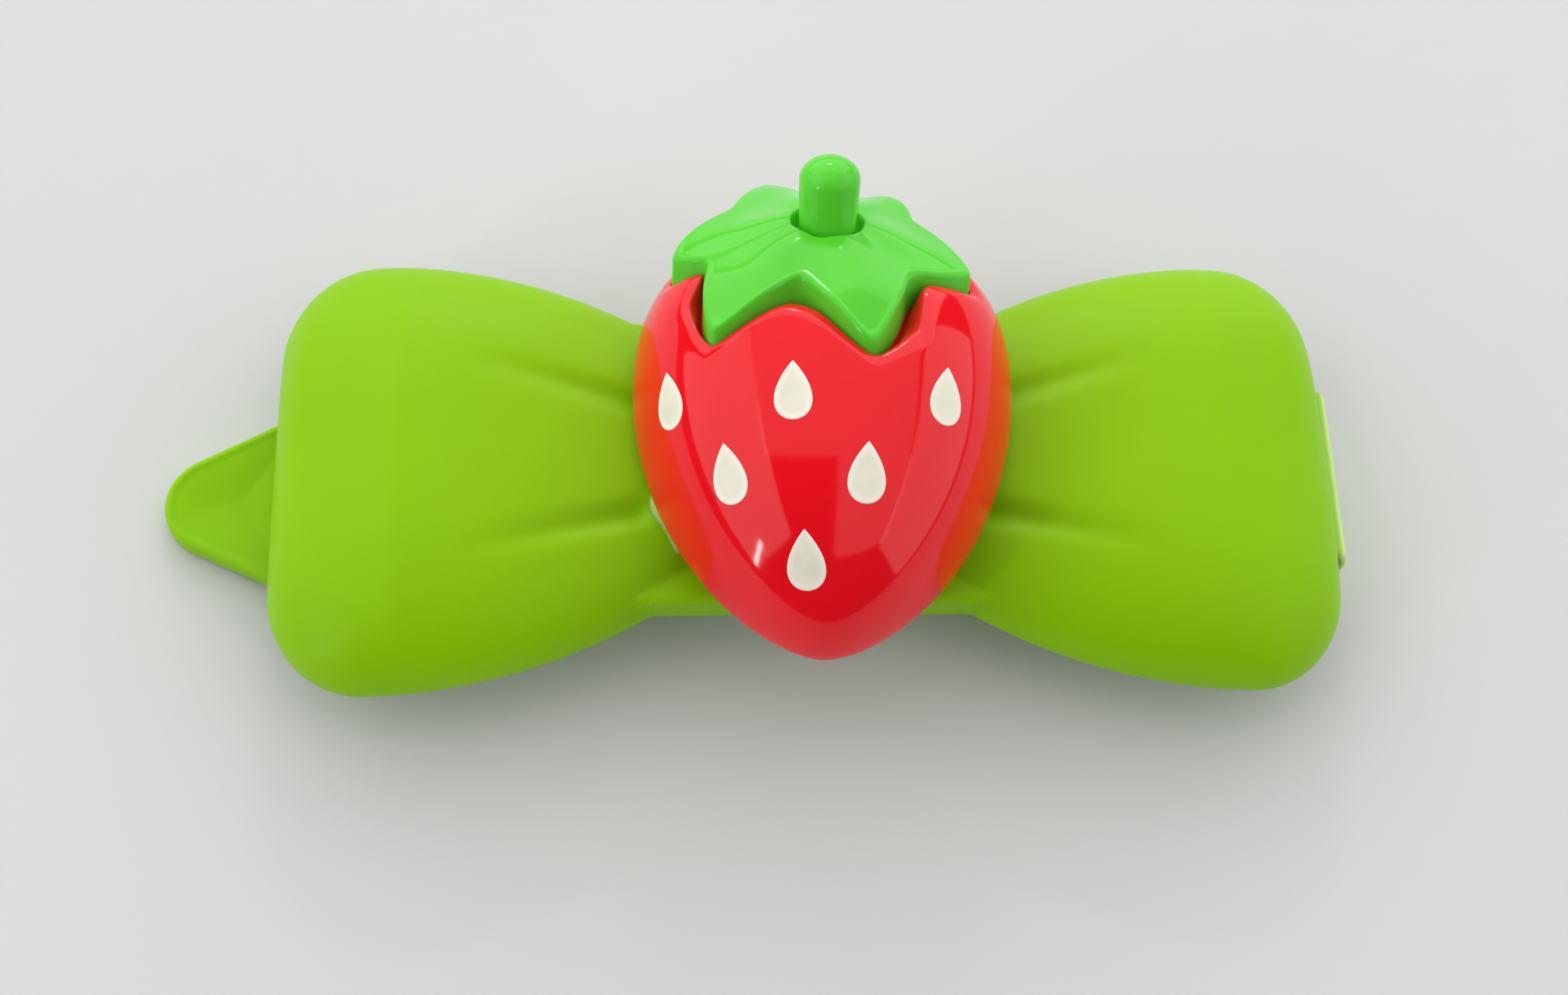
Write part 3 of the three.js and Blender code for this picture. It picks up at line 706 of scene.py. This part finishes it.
calyx_axis = np.array([0, math.cos(calyx_tilt), math.sin(calyx_tilt)])
calyx_side = np.array([1.0, 0, 0])
calyx_up = np.cross(calyx_axis, calyx_side)
outwards = np.cos(star_angle)[:, None] * calyx_side + np.sin(star_angle)[:, None] * calyx_up


def on_calyx(radius, height):
    """Points at a radius and a height on the calyx's axis. The columns follow the star's outline."""
    return calyx_centre + radius[..., None] * outwards + height[..., None] * calyx_axis


# The pocket is wider than the leaves beside the two front lobes, where a dark gap shows.
star_degrees = np.degrees(star_angle)
gap_angles = [-180, -168, -156, -143, -136, -128, -80, -74, -65, -52, -40, -28, -18, 180]
gap_widths = [0.02, 0.15, 0.7, 0.3, 0.04, 0.1, 0.1, 0.1, 0.6, 1.2, 0.8, 0.2, 0.02, 0.02]
pocket_radius = star_radius + np.interp(star_degrees, gap_angles, gap_widths)
towards_back = smooth_step((np.sin(star_angle) + droop_lead) / droop_run)
leaf_droop = front_droop + (back_droop - front_droop) * towards_back


def pocket_floor(radius):
    """Height of the pocket's floor, which droops under the leaves as they do."""
    return -calyx_thickness - seat_depth - leaf_droop * radius ** 2


exit_radius = halving(lambda r: inside_fruit(on_calyx(r, pocket_floor(r))),
                      np.zeros(star_columns), np.full(star_columns, search_reach))
edge_radius = np.minimum(pocket_radius, exit_radius)
foot_radius = np.minimum(star_radius + seat_depth, edge_radius)
foot_height = pocket_floor(foot_radius)
lowest_lip = pocket_floor(edge_radius)
lip_height = halving(lambda h: inside_fruit(on_calyx(edge_radius, h)),
                     lowest_lip, lowest_lip + search_reach)
lip = on_calyx(edge_radius, lip_height)

# Over the outside the rows are rays from a point deep in the fruit, turned from the lip to the back.
ray_start = calyx_centre - ray_depth * calyx_axis
from_start = lip - ray_start
lip_angle = np.arctan2((from_start * outwards).sum(-1), from_start @ calyx_axis)


def skin_at(share):
    """Points on the fruit's skin for shares of the turn from the lip, 0, to the back, 1."""
    turned = (lip_angle + (math.pi - lip_angle) * share)[..., None]
    ray = np.sin(turned) * outwards + np.cos(turned) * calyx_axis
    reach = halving(lambda r: inside_fruit(ray_start + r[..., None] * ray),
                    np.zeros(share.shape), np.full(share.shape, skin_reach))
    return ray_start + reach[..., None] * ray


# Even steps along the skin: the length run at coarse shares is turned round to give the fine ones.
coarse = np.linspace(0, 1, coarse_rows)[:, None] + np.zeros(star_columns)
run = np.linalg.norm(np.diff(skin_at(coarse), axis=0), axis=-1).cumsum(0)
run = np.vstack([np.zeros(star_columns), run]) / run[-1]
fine = np.linspace(0, 1, skin_rows)
lanes = 2 * np.arange(star_columns)
share = np.interp((fine[:, None] + lanes).T.ravel(), (run + lanes).T.ravel(), coarse.T.ravel())
skin = skin_at(share.reshape(star_columns, skin_rows).T)[1:-1]

floor_share = np.linspace(0, 1, floor_rows + 1)[1:, None]
floor_rings = on_calyx(floor_share * foot_radius, pocket_floor(floor_share * foot_radius))
wall_share = np.linspace(0, 1, wall_rows + 1)[1:, None]
wall_rings = on_calyx(foot_radius + (edge_radius - foot_radius) * wall_share ** wall_power,
                      foot_height + (lip_height - foot_height) * wall_share)
# The lip rolls down into the pocket, deepest at the notch between the two front lobes.
at_notch = np.exp(-((star_degrees - notch) / notch_spread) ** 2)
lip_roll = roll_depth + roll_depth_at_notch * at_notch
lip_roll = lip_roll * smooth_step((lip_height - foot_height) / roll_full_wall)
roll_width = roll_reach + roll_reach_at_notch * at_notch
from_lip = np.linalg.norm(np.diff(np.concatenate([lip[None], skin]), axis=0), axis=-1).cumsum(0)
skin_roll = lip_roll * (1 - smooth_step(from_lip / roll_width)) ** roll_power
skin = skin - skin_roll[..., None] * calyx_axis
wall_rings = wall_rings - (lip_roll * wall_share)[..., None] * calyx_axis
fruit_rings = np.concatenate([floor_rings, wall_rings, skin])
for _ in range(ring_rounds):
    fruit_rings[1:-1] = (fruit_rings[:-2] + 2 * fruit_rings[1:-1] + fruit_rings[2:]) / 4
fruit_poles = np.stack([calyx_centre - (calyx_thickness + seat_depth) * calyx_axis,
                        ray_start - ray_start[2] / calyx_axis[2] * calyx_axis])


def ringed_solid(rings, poles):
    """Closed surface of rings, anticlockwise as seen from the first pole, with a fan at each pole."""
    count, around_count = rings.shape[:2]
    at = np.arange(count * around_count).reshape(count, around_count)
    after = np.roll(at, -1, 1)
    quads = np.stack([at[:-1], at[1:], after[1:], after[:-1]], -1).reshape(-1, 4)
    first, last = count * around_count, count * around_count + 1
    caps = np.concatenate([
        np.stack([np.full(around_count, first), at[0], after[0]], -1),
        np.stack([np.full(around_count, last), after[-1], at[-1]], -1)])
    return np.concatenate([rings.reshape(-1, 3), poles]), [quads, caps]


fruit_points, fruit_faces = ringed_solid(fruit_rings, fruit_poles)
red_light, red_dark = (0.93, 0.004, 0.013), (0.87, 0.003, 0.010)
red_finish, red_shader = moulded_finish(
    "glossy_red_plastic", red_light, red_dark, 0.006, (0.06, 0.1), 0.0022, 0.00001)
set_plastic(red_shader, 0.38, 0.1, (1.0, 0.15, 0.1), 0.001)
fruit = add_mesh("strawberry", on_fruit(fruit_points), fruit_faces, red_finish)
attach(fruit, "bow")
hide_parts("strawberry_body")

# ---------------------------------------------------------------------------------------------
# Calyx with its stem.
# A thick leaf star of six lobes in glossy leaf-green plastic, softly folded along each lobe,
# dished round a stubby stem, and pressed into the fruit's pocket.
# ---------------------------------------------------------------------------------------------
fold_height, fold_blur, fold_growth = 0.34, 9.0, 1.3
collar_height, collar_reach = 0.35, 4.6
left_tip, left_dip, right_tip, right_dip, dip_spread = -136, 0.65, -74, 0.85, 16
dip_start, dip_run = 4.4, 3.0
dish_radius, dish_depth, dish_power = 1.72, 0.5, 1.2
stem_radius, stem_top, dome_height, stem_foot = 1.35, 2.2, 1.05, 0.12
dome_lean, stem_taper = 0.06, 0.03
leaf_edge = 0.36
tip_dip = left_dip * np.exp(-((star_degrees - left_tip) / dip_spread) ** 2)
tip_dip = tip_dip + right_dip * np.exp(-((star_degrees - right_tip) / dip_spread) ** 2)

# Fold along each lobe, 1 on its middle line and 0 in the valleys, averaged over some degrees so
# that narrow sides of a lobe fold less.
turn_apart = (star_degrees[:, None] - star_degrees + 180) % 360 - 180
nearness = np.exp(-(turn_apart / fold_blur) ** 2) * np.abs(np.gradient(np.unwrap(star_angle)))
fold_wave = nearness @ smooth_step(lobe_share) / nearness.sum(1)


def leaf_top(radius, share_out):
    """Upper side of the leaves: drooping with the square of the radius, more at the front tips, with
    a soft fold along each lobe that grows outwards and a collar that rises towards the dish."""
    fold = fold_height * (fold_wave - 0.5) * smooth_step(share_out * fold_growth)
    collar = collar_height * smooth_step((collar_reach - radius) / (collar_reach - dish_radius))
    dip = tip_dip * smooth_step((radius - dip_start) / dip_run)
    return fold + collar - dip - leaf_droop * radius ** 2


def calyx_ring(radius, height):
    """One ring of the calyx at a radius and a height, each a number or one value per column."""
    return on_calyx(radius + 0 * star_radius, height + 0 * star_radius)


stem_lumps = 0.03 * np.sin(2 * star_angle + 1) + 0.024 * np.sin(3 * star_angle)
dome = np.radians(np.linspace(6, 90, 14))
dome_side = dome_lean * np.sin(star_angle)
calyx_rings = [calyx_ring(stem_radius * math.sin(a) * (1 + stem_lumps * math.sin(a)),
                          stem_top + dome_height * math.cos(a) + dome_side * math.sin(2 * a))
               for a in dome]
calyx_rings += [calyx_ring(stem_radius * (1 - stem_taper * t) * (1 + stem_lumps * math.cos(3 * t)),
                           stem_top + t * (stem_foot - dish_depth - stem_top))
                for t in np.linspace(0, 1, 12)[1:]]
stem_end, foot_width = stem_radius * 0.97, stem_foot * 0.6
calyx_rings += [calyx_ring(stem_end + foot_width * (1 - math.cos(a)),
                           stem_foot * (1 - math.sin(a)) - dish_depth) for a in quarter[1:]]
dish_start = stem_end + foot_width
lip_level = leaf_top(dish_radius, dish_radius / star_radius)
for t in np.linspace(0, 1, 12)[1:]:
    rise = (lip_level + dish_depth) * smooth_step(t ** dish_power)
    calyx_rings.append(calyx_ring(dish_start + (dish_radius - dish_start) * t, rise - dish_depth))
leaf_end = star_radius - leaf_edge
for t in np.linspace(0, 1, 34)[1:]:
    radius = dish_radius + (leaf_end - dish_radius) * t
    calyx_rings.append(calyx_ring(radius, leaf_top(radius, radius / star_radius)))
top_edge = leaf_top(leaf_end, leaf_end / star_radius)
calyx_rings += [calyx_ring(leaf_end + leaf_edge * math.sin(a), top_edge - leaf_edge * (1 - math.cos(a)))
                for a in np.radians([18, 36, 54, 72, 90])]
bottom_edge = -calyx_thickness - leaf_droop * star_radius ** 2
calyx_rings += [calyx_ring(star_radius, top_edge - leaf_edge + (bottom_edge + leaf_edge - top_edge) * t)
                for t in np.linspace(0, 1, 10)[1:]]
calyx_rings += [calyx_ring(star_radius * t, -calyx_thickness - leaf_droop * (star_radius * t) ** 2)
                for t in (0.97, 0.8, 0.55, 0.3)]
calyx_poles = np.stack([calyx_centre + (stem_top + dome_height) * calyx_axis,
                        calyx_centre - calyx_thickness * calyx_axis])
calyx_points, calyx_faces = ringed_solid(np.array(calyx_rings), calyx_poles)
leaf_light, leaf_dark = (0.115, 0.70, 0.035), (0.10, 0.64, 0.03)
leaf_finish, leaf_shader = moulded_finish(
    "leaf_green_plastic", leaf_light, leaf_dark, 0.004, (0.09, 0.14), 0.0012, 0.000012)
set_plastic(leaf_shader, 0.3, 0.25, (0.4, 1.0, 0.2), 0.001)
calyx = add_mesh("calyx_and_stem", on_fruit(calyx_points), calyx_faces, leaf_finish)
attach(calyx, "bow")
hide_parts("calyx")

# ---------------------------------------------------------------------------------------------
# Seeds.
# Six drop-shaped spots of off-white paint with their points towards the stem, level with the red
# skin. The paint draws up a little at each edge, and that rim is painted brighter as a highlight.
# ---------------------------------------------------------------------------------------------
# Each seed's middle on the fruit, in X and Y.
seed_places = np.array([
    [-7.1, -0.6], [-1.75, -1.4], [5.05, -0.95], [-4.45, -4.65], [1.5, -4.9], [-1.05, -8.35]])
seed_half_width, seed_half_length, drop_power, drop_steps, drop_rounds = 0.85, 1.37, 0.95, 84, 5
seed_sink, seed_lift = 0.3, 0.012

# Drop: an ellipse pinched towards its point, its half width times sin(t) sin(t / 2)^power.
drop_turn = np.linspace(0, 2 * np.pi, drop_steps, endpoint=False)
widest = 2 * math.acos(1 / math.sqrt(2 + drop_power))
pinch = np.sin(drop_turn) * np.abs(np.sin(drop_turn / 2)) ** drop_power
drop = np.stack([
    -seed_half_width / (math.sin(widest) * math.sin(widest / 2) ** drop_power) * pinch,
    seed_half_length * np.cos(drop_turn)], -1)
drop = rounded(drop, drop_rounds)
seed_middle = np.array([0, -0.35])
# Each ring of a seed: its share of the outline and its height over the skin.
seed_profile = np.array([
    [0.2, seed_lift], [0.45, seed_lift], [0.65, 0.014], [0.8, 0.02], [0.89, 0.03], [0.94, 0.032],
    [0.975, 0.026],
    [1, 0.004], [1, -0.1], [1, -seed_sink], [0.6, -seed_sink], [0.2, -seed_sink]])


def along_skin(place, flat, lift):
    """Carries flat points, drawn round a place in the plane that touches the skin there, onto the
    skin by going down that plane's normal, and lifts them off it."""
    step = 0.05
    x, y = place
    slope_x = (fruit_surface(x + step, y) - fruit_surface(x - step, y)) / (2 * step)
    slope_y = (fruit_surface(x, y + step) - fruit_surface(x, y - step)) / (2 * step)
    normal = np.array([-slope_x, -slope_y, 1]) / math.sqrt(1 + slope_x ** 2 + slope_y ** 2)
    side = np.array([1, 0, slope_x]) / math.sqrt(1 + slope_x ** 2)
    along = np.cross(normal, side)
    points = np.array([x, y, fruit_surface(x, y)]) + flat[..., :1] * side + flat[..., 1:] * along
    for _ in range(12):
        gap = fruit_surface(points[..., 0], points[..., 1]) - points[..., 2]
        points = points + (gap * normal[2])[..., None] * normal
    return points + lift[..., None] * normal


# The third colour is a painted highlight: each seed's raised rim is painted brighter than its middle.
paint_light, paint_dark, rim_highlight_colour = (0.92, 0.87, 0.70), (0.82, 0.80, 0.63), (0.96, 0.90, 0.78)
seed_finish, seed_shader = moulded_finish(
    "seed_paint", paint_light, paint_dark, 0.0012, (0.32, 0.45), 0.0005, 0.000006)
seed_tree = seed_finish.node_tree
# Per-point mark of how far a point lies into the painted rim highlight.
rim_highlight_mark = seed_tree.nodes.new("ShaderNodeAttribute")
rim_highlight_mark.attribute_name = "painted_rim_highlight"
seed_colour = seed_shader.inputs["Base Color"].links[0].from_socket
seed_tree.links.new(link_mix(seed_tree, rim_highlight_mark.outputs["Fac"], seed_colour, rim_highlight_colour),
                    seed_shader.inputs["Base Color"])
flat_rings = seed_middle + (drop - seed_middle) * seed_profile[:, :1, None]
flat_lift = seed_profile[:, 1:] + np.zeros(len(drop))
# The painted rim highlight fades in over the outer rings of each seed.
highlight_start, highlight_run = 0.62, 0.25
seed_rim_highlight = np.r_[np.repeat(smooth_step((seed_profile[:, 0] - highlight_start) / highlight_run), len(drop)), 0, 0]
for number, place_on_skin in enumerate(seed_places, 1):
    rings = along_skin(place_on_skin, flat_rings, flat_lift)
    poles = along_skin(place_on_skin, np.stack([seed_middle, seed_middle]),
                       np.array([seed_lift, -seed_sink]))
    points, faces = ringed_solid(rings, poles)
    seed = add_mesh(f"painted_seed_{number}", on_fruit(points), faces, seed_finish)
    mark_points(seed, "painted_rim_highlight", seed_rim_highlight)
    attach(seed, "bow")
    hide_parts(f"seed_{number}")

# ---------------------------------------------------------------------------------------------
# Glue.
# A pad of clear glue between the fruit's back and the bow, squeezed out in a whitish bead along the
# fruit's lower left edge and a smaller one at its lower right.
# ---------------------------------------------------------------------------------------------
glue_half_length, glue_half_width, glue_steps = 7.0, 5.0, 240
bead_height, bead_run, skin_gap, glue_sink = 0.3, 1.2, 0.03, 0.05
# Each bead: where it starts and is full, where it begins to end and is gone, and how full it is.
left_bead, right_bead, right_bead_share = (192, 200, 217, 226), (312, 318, 324, 330), 0.9
bulge, bulge_at, bulge_spread, tuck, tremble = 0.3, 203, 6, 0.16, 0.03

glue_turn = np.linspace(0, 2 * np.pi, glue_steps, endpoint=False)
degrees = np.degrees(glue_turn)
ellipse = 1 / np.hypot(np.cos(glue_turn) / glue_half_length, np.sin(glue_turn) / glue_half_width)
ripple = 0.12 * np.sin(5 * glue_turn + 1) + 0.08 * np.sin(11 * glue_turn)


def bead_window(start, full, ending, gone):
    """Share of the bead round the pad: rises from start to full and falls from ending to gone."""
    return smooth_step((degrees - start) / (full - start)) * smooth_step((gone - degrees) / (gone - ending))


# The squeezed-out bead follows the outline of the fruit's back and stands a little beyond it.
bead = np.maximum(bead_window(*left_bead), right_bead_share * bead_window(*right_bead))
back_turn = glue_turn - fruit_turn
back_radius = halving(
    lambda r: inside_fruit(surface(r * np.cos(back_turn), r * np.sin(back_turn), 0 * r + 0.02)),
    np.zeros(glue_steps), np.full(glue_steps, 14.0))
overhang = bulge * np.exp(-((degrees - bulge_at) / bulge_spread) ** 2) - tuck
overhang = overhang + tremble * np.sin(23 * glue_turn)
pad_radius = np.minimum(ellipse, back_radius - 0.4) + ripple
glue_radius = pad_radius + (back_radius + overhang - pad_radius) * bead
glue_shares = np.r_[np.linspace(0.1, 0.8, 8), np.linspace(0.82, 1, 24)]


def glue_ring(share, top):
    """Ring of the pad: its underside lies on the bow, its top meets the fruit's back and falls to
    the bow in a rounded bead."""
    x = fruit_place[0] + glue_radius * share * np.cos(glue_turn)
    y = glue_radius * share * np.sin(glue_turn)
    base = bow_top(x, y) - glue_sink
    rise = np.sqrt(np.clip(1 - np.clip((share - 0.9) / 0.1, 0, 1) ** 2, 0, 1))
    inner_share = 1 - bead_run / glue_radius
    level = fruit_place[2] - skin_gap + bead_height * bead * smooth_step((share - inner_share) / 0.06)
    return surface(x, y, base + (np.maximum(level - base, 0.1) * rise if top else 0) + 0 * x)


glue_rings = np.array([glue_ring(share, True) for share in glue_shares]
                      + [glue_ring(share, False) for share in glue_shares[:-1][::-1]])
glue_poles = np.array([[fruit_place[0], 0, fruit_place[2] - skin_gap],
                       [fruit_place[0], 0, rim_height(0) + crown_at_waist]])
glue_points, glue_faces = ringed_solid(glue_rings, glue_poles)
glue_light, glue_dark = (0.60, 0.76, 0.34), (0.44, 0.66, 0.16)
glue_finish, glue_shader = moulded_finish(
    "clear_glue", glue_light, glue_dark, 0.0009, (0.15, 0.3), 0.0006, 0.00003)
glue_shader.inputs["Transmission Weight"].default_value = 0.15
glue_shader.inputs["IOR"].default_value = 1.47
glue = add_mesh("glue_bead", glue_points, glue_faces, glue_finish)
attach(glue, "bow")
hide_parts("glue_pad")
